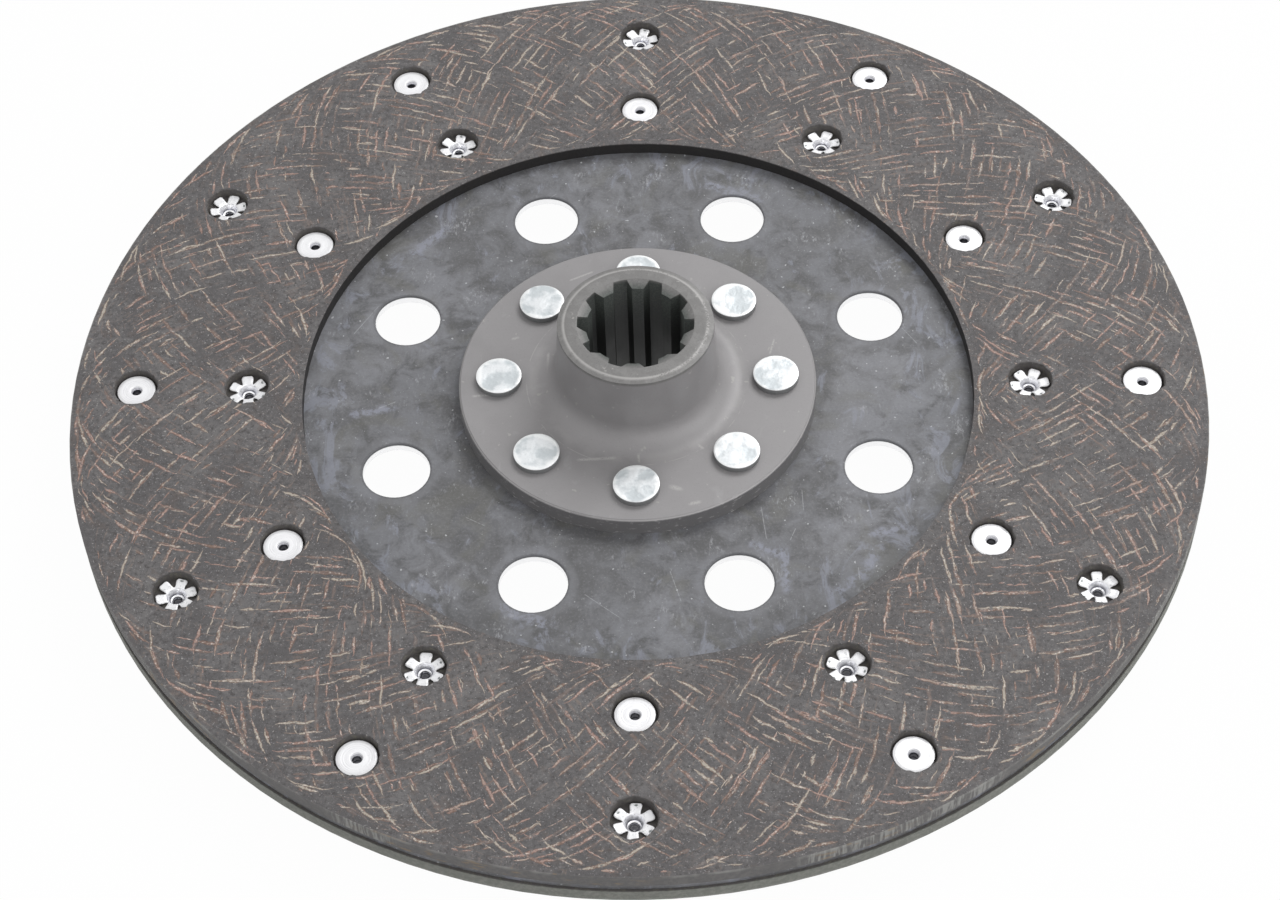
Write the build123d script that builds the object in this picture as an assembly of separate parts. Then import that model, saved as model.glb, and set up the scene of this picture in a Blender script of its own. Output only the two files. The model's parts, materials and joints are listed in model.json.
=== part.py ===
from build123d import *

import math
import os

# Rigid clutch disc, in millimetres. A splined hub is riveted to a flat steel carrier plate, and a ring of
# friction lining is riveted to each face of the plate. The origin is on the hub's axis, half way through the
# plate. +Z points out of the flywheel side, which has the hub's flange and the long end of its barrel.

# Friction linings, one on each face of the plate
LINING_DIAMETER = 280.0
LINING_BORE = 166.0
LINING_THICKNESS = 3.5
LINING_WEB = 0.9  # lining left between a rivet's seat and the plate

# Carrier plate
PLATE_THICKNESS = 2.6
PLATE_RIM_RECESS = 0.7  # radial step from the linings' rim in to the plate's rim
RELIEF_HOLE_COUNT = 8
RELIEF_HOLE_DIAMETER = 16.5
RELIEF_HOLE_CIRCLE = 127.0

# Tubular lining rivets, on two circles that share their angles
LINING_RIVET_COUNT = 12  # on each circle
OUTER_RIVET_MARGIN = 15.25  # from the linings' rim in to the outer circle
INNER_RIVET_MARGIN = 14.0  # from the linings' bore out to the inner circle
RIVET_HEAD_DIAMETER = 9.4
RIVET_HEAD_THICKNESS = 1.05
RIVET_SHANK_DIAMETER = 5.0
RIVET_HEAD_BORE = 2.3
RIVET_SET_BORE = 3.4  # foot of the flared bore of the end that is split
RIVET_SET_BORE_DEPTH = 1.1  # of that foot, below the seat
RIVET_DRILL_POINT_DEPTH = 0.8  # from there on to the head's bore
PETAL_COUNT = 6
PETAL_SPREAD = 9.6
PETAL_MOUTH = 4.8  # diameter over the flared bore's edge, where the petals start
PETAL_MOUTH_HEIGHT = 0.45
PETAL_THICKNESS = 0.55  # at the tips
PETAL_BEARING = 0.7  # width of the flat ring on which the petals bear
PETAL_TIP_LIFT = 0.5
PETAL_GAP_ANGLE = 54.0  # of the notch between two petals
PETAL_TURN_STEP = 17.0  # degrees from one set rivet to the next, as they are set at random

# Hub
FLANGE_DIAMETER = 88.4
FLANGE_THICKNESS = 5.0
FLANGE_CHAMFER = 0.5
BARREL_DIAMETER = 38.0  # at the front face
BARREL_LENGTH = 20.9  # from the flange to the front face
BARREL_DRAFT = 3.2  # degrees
BARREL_FILLET = 6.5
FACE_BEVEL_WIDTH = 2.4
FACE_BEVEL_DROP = 0.5
BOSS_DIAMETER = 37.6  # spigot that centres the plate and runs on through it
BOSS_LENGTH = 11.5  # behind the plate
BOSS_CHAMFER = 1.0

# Ten-tooth spline of the hub's bore
SPLINE_COUNT = 10
SPLINE_MAJOR_DIAMETER = 28.4
SPLINE_MINOR_DIAMETER = 24.0
SPLINE_ROOT_WIDTH = 3.3
SPLINE_FLANK_ANGLE = 16.5  # degrees from the middle line of a groove
SPLINE_TURN = -2.1  # degrees from the first hub rivet to the first groove
LEAD_IN_LAP = 0.15  # how far the lead-in cone reaches beyond the grooves
LEAD_IN_DEPTH = 1.15

# Hub rivets
HUB_RIVET_COUNT = 8
HUB_RIVET_CIRCLE = 68.4
HUB_RIVET_SHANK_DIAMETER = 6.5
HUB_RIVET_HEAD_DIAMETER = 11.4
HUB_RIVET_HEAD_HEIGHT = 1.7
HUB_RIVET_HEAD_CHAMFER = 0.2
HUB_RIVET_TAIL_DIAMETER = 11.0
HUB_RIVET_TAIL_HEIGHT = 2.6
HUB_RIVET_TAIL_CHAMFER = 1.4

# Clearances, on the radius
SHANK_CLEARANCE = 0.1
COUNTERBORE_CLEARANCE = 0.4
SPIGOT_CLEARANCE = 0.1

# Heights above the middle of the plate that several pieces share
PLATE_FACE = PLATE_THICKNESS / 2
LINING_FACE = PLATE_FACE + LINING_THICKNESS
RIVET_SEAT = PLATE_FACE + LINING_WEB
FLANGE_FACE = PLATE_FACE + FLANGE_THICKNESS
FRONT_FACE = FLANGE_FACE + BARREL_LENGTH
BACK_FACE = -PLATE_FACE - BOSS_LENGTH

# Circles and holes that several pieces share
OUTER_RIVET_CIRCLE = LINING_DIAMETER - 2 * OUTER_RIVET_MARGIN
INNER_RIVET_CIRCLE = LINING_BORE + 2 * INNER_RIVET_MARGIN
LINING_RIVET_HOLE = RIVET_SHANK_DIAMETER + 2 * SHANK_CLEARANCE
COUNTERBORE_DIAMETER = max(RIVET_HEAD_DIAMETER, PETAL_SPREAD) + 2 * COUNTERBORE_CLEARANCE
HUB_RIVET_HOLE = HUB_RIVET_SHANK_DIAMETER + 2 * SHANK_CLEARANCE


def lining_rivet_places():
    """Both circles of lining rivets."""
    outer = PolarLocations(OUTER_RIVET_CIRCLE / 2, LINING_RIVET_COUNT)
    inner = PolarLocations(INNER_RIVET_CIRCLE / 2, LINING_RIVET_COUNT)
    return list(outer) + list(inner)


def hub_rivet_places():
    return list(PolarLocations(HUB_RIVET_CIRCLE / 2, HUB_RIVET_COUNT))


def discs(diameter, places):
    """A flat disc at each place, to cut holes with."""
    return Sketch() + [place * Circle(diameter / 2) for place in places]


def turned(half_section):
    """A solid of revolution about Z from the (radius, height) corners of its half section."""
    return revolve(Plane.XZ * make_face(Polyline(*half_section, close=True)), Axis.Z)


def friction_lining():
    """The flywheel side's lining, with a counterbored hole at every rivet."""
    ring = Circle(LINING_DIAMETER / 2) - Circle(LINING_BORE / 2)
    ring = ring - discs(LINING_RIVET_HOLE, lining_rivet_places())
    counterbores = extrude(discs(COUNTERBORE_DIAMETER, lining_rivet_places()), LINING_FACE - RIVET_SEAT)
    return Pos(Z=PLATE_FACE) * extrude(ring, LINING_THICKNESS) - Pos(Z=RIVET_SEAT) * counterbores


def carrier_plate():
    """The steel disc between the linings, with its spigot hole, relief holes and rivet holes."""
    blank = Circle(LINING_DIAMETER / 2 - PLATE_RIM_RECESS) - Circle(BOSS_DIAMETER / 2 + SPIGOT_CLEARANCE)
    half_pitch = 180 / RELIEF_HOLE_COUNT
    relief_places = PolarLocations(RELIEF_HOLE_CIRCLE / 2, RELIEF_HOLE_COUNT, half_pitch)
    blank = blank - discs(RELIEF_HOLE_DIAMETER, relief_places)
    blank = blank - discs(LINING_RIVET_HOLE, lining_rivet_places())
    blank = blank - discs(HUB_RIVET_HOLE, hub_rivet_places())
    return Pos(Z=-PLATE_FACE) * extrude(blank, PLATE_THICKNESS)


def spline_bore_section():
    """The bore's section: a round bore of the minor diameter with a tapered groove between teeth."""
    minor = SPLINE_MINOR_DIAMETER / 2
    major = SPLINE_MAJOR_DIAMETER / 2
    taper = math.tan(math.radians(SPLINE_FLANK_ANGLE))
    root_half = SPLINE_ROOT_WIDTH / 2
    inner, outer = minor / 2, major + 1
    inner_half = root_half + (major - inner) * taper
    outer_half = root_half - (outer - major) * taper
    corners = [(inner, -inner_half), (outer, -outer_half), (outer, outer_half), (inner, inner_half)]
    groove = make_face(Polyline(*corners, close=True)) & Circle(major)
    places = PolarLocations(0, SPLINE_COUNT, SPLINE_TURN)
    return Circle(minor) + [place * groove for place in places]


def hub():
    """The turned hub: a drafted barrel on a riveting flange, a spigot behind it and a splined bore."""
    front_radius = BARREL_DIAMETER / 2
    root_radius = front_radius + BARREL_LENGTH * math.tan(math.radians(BARREL_DRAFT))
    boss_radius = BOSS_DIAMETER / 2
    flange_radius = FLANGE_DIAMETER / 2
    barrel_root = (root_radius, FLANGE_FACE)
    half_section = Plane.XZ * make_face(
        Polyline(
            (0, BACK_FACE),
            (boss_radius - BOSS_CHAMFER, BACK_FACE),
            (boss_radius, BACK_FACE + BOSS_CHAMFER),
            (boss_radius, PLATE_FACE),
            (flange_radius, PLATE_FACE),
            (flange_radius, FLANGE_FACE - FLANGE_CHAMFER),
            (flange_radius - FLANGE_CHAMFER, FLANGE_FACE),
            barrel_root,
            (front_radius, FRONT_FACE - FACE_BEVEL_DROP),
            (front_radius - FACE_BEVEL_WIDTH, FRONT_FACE),
            (0, FRONT_FACE),
            close=True,
        )
    )
    corner = half_section.vertices().sort_by_distance((root_radius, 0, FLANGE_FACE))[0]
    body = revolve(fillet(corner, BARREL_FILLET), Axis.Z)
    body -= Pos(Z=BACK_FACE) * extrude(spline_bore_section(), FRONT_FACE - BACK_FACE)
    lead_in_radius = SPLINE_MAJOR_DIAMETER / 2 + LEAD_IN_LAP
    minor = SPLINE_MINOR_DIAMETER / 2
    for face, inner_end in ((FRONT_FACE, FRONT_FACE - LEAD_IN_DEPTH), (BACK_FACE, BACK_FACE + LEAD_IN_DEPTH)):
        body -= turned([(0, face), (lead_in_radius, face), (minor, inner_end), (0, inner_end)])
    holes = extrude(discs(HUB_RIVET_HOLE, hub_rivet_places()), FLANGE_THICKNESS)
    return body - Pos(Z=PLATE_FACE) * holes


def hub_rivet():
    """A solid rivet through flange and plate: a flat bevelled head in front, a formed head behind."""
    shank = HUB_RIVET_SHANK_DIAMETER / 2
    head = HUB_RIVET_HEAD_DIAMETER / 2
    tail = HUB_RIVET_TAIL_DIAMETER / 2
    head_top = FLANGE_FACE + HUB_RIVET_HEAD_HEIGHT
    tail_top = -PLATE_FACE - HUB_RIVET_TAIL_HEIGHT
    return turned([
        (0, head_top),
        (head - HUB_RIVET_HEAD_CHAMFER, head_top),
        (head, head_top - HUB_RIVET_HEAD_CHAMFER),
        (head, FLANGE_FACE),
        (shank, FLANGE_FACE),
        (shank, -PLATE_FACE),
        (tail, -PLATE_FACE),
        (tail, tail_top + HUB_RIVET_TAIL_CHAMFER),
        (tail - HUB_RIVET_TAIL_CHAMFER, tail_top),
        (0, tail_top),
    ])


def lining_rivet():
    """A tubular rivet with its flat head on +Z and its split end rolled out into petals on -Z."""
    shank = RIVET_SHANK_DIAMETER / 2
    head = RIVET_HEAD_DIAMETER / 2
    head_bore = RIVET_HEAD_BORE / 2
    set_bore = RIVET_SET_BORE / 2
    mouth = PETAL_MOUTH / 2
    tip = PETAL_SPREAD / 2
    tip_height = PETAL_TIP_LIFT + PETAL_THICKNESS
    bore_foot = -RIVET_SEAT + RIVET_SET_BORE_DEPTH
    body = turned([
        (head_bore, RIVET_SEAT + RIVET_HEAD_THICKNESS),
        (head, RIVET_SEAT + RIVET_HEAD_THICKNESS),
        (head, RIVET_SEAT),
        (shank, RIVET_SEAT),
        (shank, -RIVET_SEAT),
        (shank + PETAL_BEARING, -RIVET_SEAT),
        (tip, -RIVET_SEAT - PETAL_TIP_LIFT),
        (tip, -RIVET_SEAT - tip_height),
        (mouth, -RIVET_SEAT - PETAL_MOUTH_HEIGHT),
        (set_bore, bore_foot),
        (head_bore, bore_foot + RIVET_DRILL_POINT_DEPTH),
    ])
    reach = tip - shank + 1
    half_width = reach * math.tan(math.radians(PETAL_GAP_ANGLE / 2))
    notch = make_face(Polyline((shank, 0), (shank + reach, half_width), (shank + reach, -half_width), close=True))
    notches = [place * notch for place in PolarLocations(0, PETAL_COUNT)]
    return body - Pos(Z=-RIVET_SEAT) * extrude(Sketch() + notches, -tip_height)


def set_lining_rivets(circle, first_head_up):
    """The rivets of one circle, put in from alternate sides of the disc."""
    places = PolarLocations(circle / 2, LINING_RIVET_COUNT)
    rivets = []
    for index, place in enumerate(places):
        head_up = (index % 2 == 0) == first_head_up
        flip = Rotation() if head_up else Rotation(X=180)
        rivets.append(place * flip * Rotation(Z=index * PETAL_TURN_STEP) * lining_rivet())
    return rivets


def numbered(name, pieces):
    return {f"{name}_{index:02d}": piece for index, piece in enumerate(pieces, start=1)}


lining = friction_lining()
nodes = {
    "hub": hub(),
    "carrier_plate": carrier_plate(),
    "lining_flywheel_side": lining,
    "lining_pressure_side": mirror(lining, about=Plane.XY),
    **numbered("hub_rivet", [place * hub_rivet() for place in hub_rivet_places()]),
    **numbered("outer_lining_rivet", set_lining_rivets(OUTER_RIVET_CIRCLE, True)),
    **numbered("inner_lining_rivet", set_lining_rivets(INNER_RIVET_CIRCLE, False)),
}

os.makedirs("parts", exist_ok=True)
for name, piece in nodes.items():
    export_step(piece, f"parts/{name}.step")
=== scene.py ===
"""Rigid clutch disc: a splined steel hub riveted to a carrier plate between two woven friction linings."""
import json
import math
import random

import bmesh
import bpy
from bpy.props import FloatProperty, FloatVectorProperty, IntProperty, PointerProperty
from mathutils import Matrix, Vector, noise

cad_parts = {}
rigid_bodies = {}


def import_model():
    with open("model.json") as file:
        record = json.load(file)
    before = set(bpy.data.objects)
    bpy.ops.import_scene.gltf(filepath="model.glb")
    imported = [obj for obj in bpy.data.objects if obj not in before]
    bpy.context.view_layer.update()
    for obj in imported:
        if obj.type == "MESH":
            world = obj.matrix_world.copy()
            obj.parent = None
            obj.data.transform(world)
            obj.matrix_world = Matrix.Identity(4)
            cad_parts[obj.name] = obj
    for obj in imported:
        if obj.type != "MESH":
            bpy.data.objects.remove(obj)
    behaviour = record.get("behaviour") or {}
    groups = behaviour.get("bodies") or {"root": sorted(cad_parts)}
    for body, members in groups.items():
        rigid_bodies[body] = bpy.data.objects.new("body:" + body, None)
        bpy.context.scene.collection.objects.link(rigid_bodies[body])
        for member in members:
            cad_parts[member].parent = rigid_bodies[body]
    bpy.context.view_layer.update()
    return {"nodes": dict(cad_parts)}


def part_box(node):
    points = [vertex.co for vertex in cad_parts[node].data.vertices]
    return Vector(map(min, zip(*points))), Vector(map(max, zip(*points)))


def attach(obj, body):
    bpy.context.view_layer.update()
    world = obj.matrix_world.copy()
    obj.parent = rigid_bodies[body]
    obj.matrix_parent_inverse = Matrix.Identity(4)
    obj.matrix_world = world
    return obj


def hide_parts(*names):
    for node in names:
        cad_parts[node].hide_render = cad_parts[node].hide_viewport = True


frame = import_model()

bl_info = {
    "name": "Clutch disc",
    "version": (1, 0, 0),
    "blender": (4, 5, 0),
    "location": "3D View > Sidebar > Clutch disc",
    "description": "Dresses a riveted clutch disc with woven linings, yarns, rivets and metal finishes",
    "category": "Object",
}

MM = 0.001
BODY = "root"
OUTER_RIVETS = [f"outer_lining_rivet_{index:02d}" for index in range(1, 13)]
INNER_RIVETS = [f"inner_lining_rivet_{index:02d}" for index in range(1, 13)]
HUB_RIVETS = [f"hub_rivet_{index:02d}" for index in range(1, 9)]
LINING = "lining_flywheel_side"  # the lining on the other side is its mirror image

RELIEF_HOLES = 8
RELIEF_CIRCLE = 63.5 * MM  # radius of the circle on which the plate's relief holes stand
RELIEF_RADIUS = 8.25 * MM
COUNTERBORE = 5.2 * MM  # radius of the linings' counterbores
SWING_MARGIN = 1.5 * MM  # how far the yarns' wave stays from bore and rim


# Sizes that come from the frame, in metres


def half_width(node):
    """The greatest distance of a round CAD node from the Z axis."""
    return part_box(node)[1].x


def bore_radius(node):
    """The least distance of a CAD node from the Z axis."""
    return min(math.hypot(v.co.x, v.co.y) for v in frame["nodes"][node].data.vertices)


def circle_radius(node):
    """How far from the Z axis a small turned CAD node stands."""
    low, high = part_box(node)
    middle = (low + high) / 2
    return math.hypot(middle.x, middle.y)


def flange_height(rivets):
    """The height of the hub's flange, which the hub rivets' heads stand on."""
    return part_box(HUB_RIVETS[0])[1].z - rivets.hub_head_height


def lining_sizes():
    """The radii of a lining's bore and rim, and the height of its face."""
    return bore_radius(LINING), half_width(LINING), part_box(LINING)[1].z


def srgb(red, green, blue, alpha=1.0):
    """A colour written as 0 to 255 screen values, as the shader's linear values."""

    def linear(value):
        value /= 255
        return value / 12.92 if value <= 0.04045 else ((value + 0.055) / 1.055) ** 2.4

    return (linear(red), linear(green), linear(blue), alpha)


def colour(name, description, red, green, blue):
    """A colour setting, whose default is written as screen values."""
    return FloatVectorProperty(
        name=name,
        description=description,
        subtype="COLOR",
        size=4,
        min=0.0,
        max=1.0,
        default=srgb(red, green, blue),
    )


def length(name, description, millimetres):
    """A length setting, whose default is written in millimetres."""
    return FloatProperty(
        name=name,
        description=description,
        default=millimetres * MM,
        min=0.0,
        precision=5,
        subtype="DISTANCE",
        unit="LENGTH",
    )


# Node trees


def joined(operation, swapped=False):
    """A method that joins a term and another value, or the two swapped, by a Math node."""

    def method(self, other):
        values = (other, self) if swapped else (self, other)
        return self.graph.math(operation, *values)

    return method


class Term:
    """A node socket that takes part in sums, which add the Math nodes that they need."""

    def __init__(self, graph, socket):
        self.graph = graph
        self.socket = socket

    def out(self, name):
        """Another output of the same node."""
        return Term(self.graph, self.socket.node.outputs[name])

    __add__ = joined("ADD")
    __radd__ = joined("ADD", swapped=True)
    __sub__ = joined("SUBTRACT")
    __rsub__ = joined("SUBTRACT", swapped=True)
    __mul__ = joined("MULTIPLY")
    __rmul__ = joined("MULTIPLY", swapped=True)
    __truediv__ = joined("DIVIDE")
    __pow__ = joined("POWER")
    __gt__ = joined("GREATER_THAN")
    __lt__ = joined("LESS_THAN")


class Graph:
    """A node tree under construction, for a material or for Geometry Nodes."""

    def __init__(self, tree):
        self.tree = tree
        tree.nodes.clear()

    def node(self, kind, settings=None, sockets=None, out=0):
        """Adds a node: its settings first, then its sockets' values or links."""
        made = self.tree.nodes.new(kind)
        for name, value in (settings or {}).items():
            setattr(made, name, value)
        for key, value in (sockets or {}).items():
            if isinstance(value, Term):
                self.tree.links.new(value.socket, made.inputs[key])
            else:
                made.inputs[key].default_value = value
        return Term(self, made.outputs[out]) if len(made.outputs) else None

    def math(self, operation, *values):
        """A Math node's result for terms or numbers."""
        return self.node("ShaderNodeMath", {"operation": operation}, dict(enumerate(values)))

    def most(self, first, *others):
        """The greatest of several values."""
        for other in others:
            first = self.math("MAXIMUM", first, other)
        return first

    def distance(self, across, along):
        """How far a point is from the middle, from its two coordinates."""
        return self.math("SQRT", across * across + along * along)

    def vector(self, x, y, z):
        """A vector from its three parts."""
        return self.node("ShaderNodeCombineXYZ", {}, {"X": x, "Y": y, "Z": z})

    def split(self, vector):
        """The three parts of a vector."""
        x = self.node("ShaderNodeSeparateXYZ", {}, {"Vector": vector}, "X")
        return x, x.out("Y"), x.out("Z")

    def step(self, value, low, high, start=0.0, end=1.0):
        """A smooth step of value from start at low to end at high."""
        sockets = {"Value": value, "From Min": low, "From Max": high, "To Min": start, "To Max": end}
        return self.node("ShaderNodeMapRange", {"interpolation_type": "SMOOTHSTEP"}, sockets)

    def noise(self, vector, scale, detail=2.0, roughness=0.5, distortion=0.0):
        """Noise about 0.5, finer with a greater scale."""
        sockets = {
            "Vector": vector,
            "Scale": scale,
            "Detail": detail,
            "Roughness": roughness,
            "Distortion": distortion,
        }
        return self.node("ShaderNodeTexNoise", {}, sockets, "Fac")

    def scaled(self, vector, x, y, z):
        """The vector with each of its parts multiplied."""
        return self.node("ShaderNodeVectorMath", {"operation": "MULTIPLY"}, {0: vector, 1: (x, y, z)})

    def moved(self, vector, offset):
        """The vector with another one added."""
        return self.node("ShaderNodeVectorMath", {"operation": "ADD"}, {0: vector, 1: offset})

    def random_value(self, seed, low=0.0, high=1.0):
        """A random number for each point, in Geometry Nodes."""
        sockets = {2: low, 3: high, "Seed": seed}
        return self.node("FunctionNodeRandomValue", {"data_type": "FLOAT"}, sockets, 1)

    def attribute(self, name):
        """A value that a mesh carries at its points, read by a material."""
        return self.node("ShaderNodeAttribute", {"attribute_name": name}, {}, "Fac")

    def mix(self, factor, first, second):
        """Two colours mixed by factor."""
        settings = {"data_type": "RGBA", "clamp_factor": True}
        return self.node("ShaderNodeMix", settings, {0: factor, 6: first, 7: second}, 2)


def new_material(name, plain_colour):
    """An empty node material, with a plain colour for the solid view."""
    material = bpy.data.materials.new(name)
    material.use_nodes = True
    material.diffuse_color = tuple(plain_colour)
    return material, Graph(material.node_tree)


def finish_material(graph, tone, roughness, metallic, height, strength, distance, specular=0.5):
    """Ends a material in a Principled shader, bumped by height with a strength over a distance."""
    bump = {"Strength": strength, "Distance": distance, "Height": height}
    sockets = {
        "Base Color": tone,
        "Roughness": roughness,
        "Metallic": metallic,
        "Specular IOR Level": specular,
        "Normal": graph.node("ShaderNodeBump", {}, bump, "Normal"),
    }
    shader = graph.node("ShaderNodeBsdfPrincipled", {}, sockets, "BSDF")
    graph.node("ShaderNodeOutputMaterial", {}, {"Surface": shader})


def polar(graph):
    """Object coordinates in millimetres: the vector, x, y, z, the radius and the angle about Z."""
    place = graph.node("ShaderNodeTexCoord", {}, {}, "Object")
    place = graph.scaled(place, 1 / MM, 1 / MM, 1 / MM)
    x, y, z = graph.split(place)
    return place, x, y, z, graph.distance(x, y), graph.math("ARCTAN2", y, x)


def folded(graph, radius, angle, count, first=0.0):
    """A point beside the nearest of count spokes: how far out along it, and how far off it.

    first is the angle of the first spoke, as a share of the pitch.
    """
    pitch = math.tau / count
    beside = angle - (graph.math("ROUND", angle / pitch - first) + first) * pitch
    return radius * graph.math("COSINE", beside), radius * graph.math("SINE", beside)


def scratches(graph, x, y, lines):
    """A mask of straight scratches, each from one point to another, with its width, all in millimetres."""
    found = []
    for x1, y1, x2, y2, width in lines:
        reach = math.hypot(x2 - x1, y2 - y1)
        along_x, along_y = (x2 - x1) / reach, (y2 - y1) / reach
        along = (x - x1) * along_x + (y - y1) * along_y
        past = graph.most(graph.math("ABSOLUTE", along - reach / 2) - reach / 2, 0.0)
        off = (y - y1) * along_x - (x - x1) * along_y
        away = graph.math("SQRT", off * off + past * past * 0.3)
        found.append(1 - away / width)
    return graph.most(*found, 0.0)


def yarn_swing(graph, radius, middle, swing):
    """Where a radius lies on the yarns' wave about the lining's middle: 0 at its crest, pi at its trough."""
    share = graph.math("MINIMUM", graph.most((radius - middle) / swing, -1), 1)
    return graph.math("ARCCOSINE", share)


# Settings


class LiningSettings(bpy.types.PropertyGroup):
    """Sizes and colours of the friction linings."""

    edge_ease: length("Edge easing", "Width of the small bevel on every edge of a lining", 0.12)
    broken_edge: length("Broken edge", "Width of the crumbled edge round a counterbore", 0.42)
    ragged: length("Raggedness", "How far a counterbore's crumbled edge strays from its circle", 0.45)
    base_colour: colour("Binder", "Colour of the resin and rubber binder", 89, 87, 88)
    worn_colour: colour("Worn binder", "Colour of the binder where it is rubbed light", 114, 112, 112)
    dark_colour: colour("Pitted binder", "Colour of the pits and stains in the binder", 63, 59, 58)
    wall_colour: colour("Cut walls", "Colour of the counterbores' walls and floors", 88, 85, 84)
    # Painted shade: the bore's wall is painted near black
    bore_shade_colour: colour("Bore wall", "Colour of the bore's sooty wall", 26, 25, 26)
    fibre_colour: colour("Sunken fibre", "Colour of the fibres that lie below the surface", 134, 118, 108)


class YarnSettings(bpy.types.PropertyGroup):
    """Sizes, numbers and colours of the yarns that show on the linings' faces."""

    wire_count: IntProperty(name="Wires", description="Wire strokes on each face", default=2500, min=1)
    fibre_count: IntProperty(name="Fibres", description="Fibre strokes on each face", default=2600, min=1)
    lanes: IntProperty(name="Lanes", description="Yarn lanes round the lining", default=223, min=3)
    waves: FloatProperty(name="Waves", description="Waves of a yarn in one turn", default=5.1, min=0.5)
    wire_width: length("Wire width", "Greatest width of a wire stroke", 1.5)
    fibre_width: length("Fibre width", "Greatest width of a fibre stroke", 0.85)
    crown: length("Crown", "How far a stroke stands out of the lining", 0.05)
    copper_colour: colour("Copper", "Colour of the copper wires", 160, 134, 125)
    straw_colour: colour("Straw", "Colour of the glass and cotton yarns", 172, 164, 152)
    brown_colour: colour("Brown", "Colour of the yarns under a film of binder", 124, 104, 94)


class MetalSettings(bpy.types.PropertyGroup):
    """Colours of the steel and plated pieces."""

    plate_colour: colour("Carrier plate", "Colour of the phosphated plate", 92, 92, 94)
    plate_cloud_colour: colour("Plate clouds", "Colour of the plate's lighter clouds", 114, 115, 119)
    hub_colour: colour("Hub", "Colour of the phosphated hub", 140, 138, 139)
    hub_face_colour: colour("Hub face", "Colour of the hub's turned front", 116, 115, 114)
    zinc_colour: colour("Hub rivets", "Colour of the zinc on the hub's rivets", 226, 229, 231)
    tin_colour: colour("Lining rivets", "Colour of the bright lining rivets", 244, 244, 246)


class RivetSettings(bpy.types.PropertyGroup):
    """Sizes of the rivets' visible ends."""

    lining_seat: length("Lining rivet seat", "Height of the counterbores' floors over the middle plane", 2.2)
    lining_head: length("Lining rivet head", "Diameter of a lining rivet's flat head", 9.5)
    head_height: length("Head height", "Height of a lining rivet's head over its seat", 1.2)
    head_bore: length("Head bore", "Diameter of the hole through a lining rivet's head", 2.3)
    petal_spread: length("Petal spread", "Diameter over a set rivet's petals", 9.8)
    petal_width: length("Petal width", "Width of one petal", 2.9)
    hub_head: length("Hub rivet head", "Diameter of a hub rivet's head", 11.4)
    hub_head_height: length("Hub rivet head height", "Height of a hub rivet's head over the flange", 1.7)
    hub_tail_height: length("Hub rivet tail height", "Height of a hub rivet's end behind the plate", 2.6)
    variants: IntProperty(name="Variants", description="Differently split rivets", default=5, min=1)


# Mesh helpers


def new_piece(name, mesh, *materials):
    """An object at the origin for a mesh, in the scene."""
    for material in materials:
        mesh.materials.append(material)
    piece = bpy.data.objects.new(name, mesh)
    bpy.context.scene.collection.objects.link(piece)
    return piece


def baked(piece, name):
    """The piece's evaluated mesh as a plain piece of its own. The piece itself goes."""
    bpy.context.view_layer.update()
    graph = bpy.context.evaluated_depsgraph_get()
    finished = piece.evaluated_get(graph)
    mesh = bpy.data.meshes.new_from_object(finished, preserve_all_data_layers=True, depsgraph=graph)
    if not mesh.polygons:
        raise RuntimeError(f"{name} came out empty")
    mesh.name = name
    bpy.data.objects.remove(piece)
    return new_piece(name, mesh)


def settle(piece, slot, *nodes):
    """Puts a finished piece on the disc's body and in the place of its CAD nodes. Its slot is not used."""
    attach(piece, BODY)
    if nodes:
        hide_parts(*nodes)


def smooth_by_angle(mesh, degrees):
    """Smooth shading, with the edges sharper than the angle kept crisp."""
    work = bmesh.new()
    work.from_mesh(mesh)
    limit = math.radians(degrees)
    for face in work.faces:
        face.smooth = True
    for edge in work.edges:
        edge.smooth = not (len(edge.link_faces) == 2 and edge.calc_face_angle(0.0) > limit)
    work.to_mesh(mesh)
    work.free()


def eased_copy(node, name, ease, material, crisp=32, wider=None, reshape=None):
    """A CAD node welded, with flat faces joined up, sharp edges eased and curves shaded smooth.

    crisp is the angle in degrees over which an edge counts as sharp.
    wider gives the easing of an edge from its two ends where it isn't the common one, or None.
    reshape moves corners of the welded mesh before the edges are eased.
    """
    mesh = frame["nodes"][node].data.copy()
    mesh.materials.clear()
    if "custom_normal" in mesh.attributes:
        mesh.attributes.remove(mesh.attributes["custom_normal"])
    work = bmesh.new()
    work.from_mesh(mesh)
    bmesh.ops.remove_doubles(work, verts=work.verts, dist=0.002 * MM)
    bmesh.ops.dissolve_limit(work, angle_limit=math.radians(0.4), verts=work.verts, edges=work.edges)
    if reshape:
        reshape(work)
    for face in work.faces:
        face.smooth = True
    weights = work.edges.layers.float.new("bevel_weight_edge")
    widest = 0.5 * MM
    for edge in work.edges:
        if len(edge.link_faces) == 2 and edge.calc_face_angle(0.0) > math.radians(crisp):
            own = wider(*(vert.co for vert in edge.verts)) if wider else None
            edge[weights] = (own or ease) / widest
    work.to_mesh(mesh)
    work.free()
    piece = new_piece(name + "_rough", mesh, material)
    bevel = piece.modifiers.new("ease", "BEVEL")
    bevel.width = widest
    bevel.segments = 2
    bevel.limit_method = "WEIGHT"
    bevel.use_clamp_overlap = True
    bevel.loop_slide = False  # corners that slide along a flat face's seams could fold the face over itself
    normals = piece.modifiers.new("normals", "WEIGHTED_NORMAL")
    normals.mode = "FACE_AREA_WITH_ANGLE"
    return baked(piece, name)


# Materials


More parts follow.
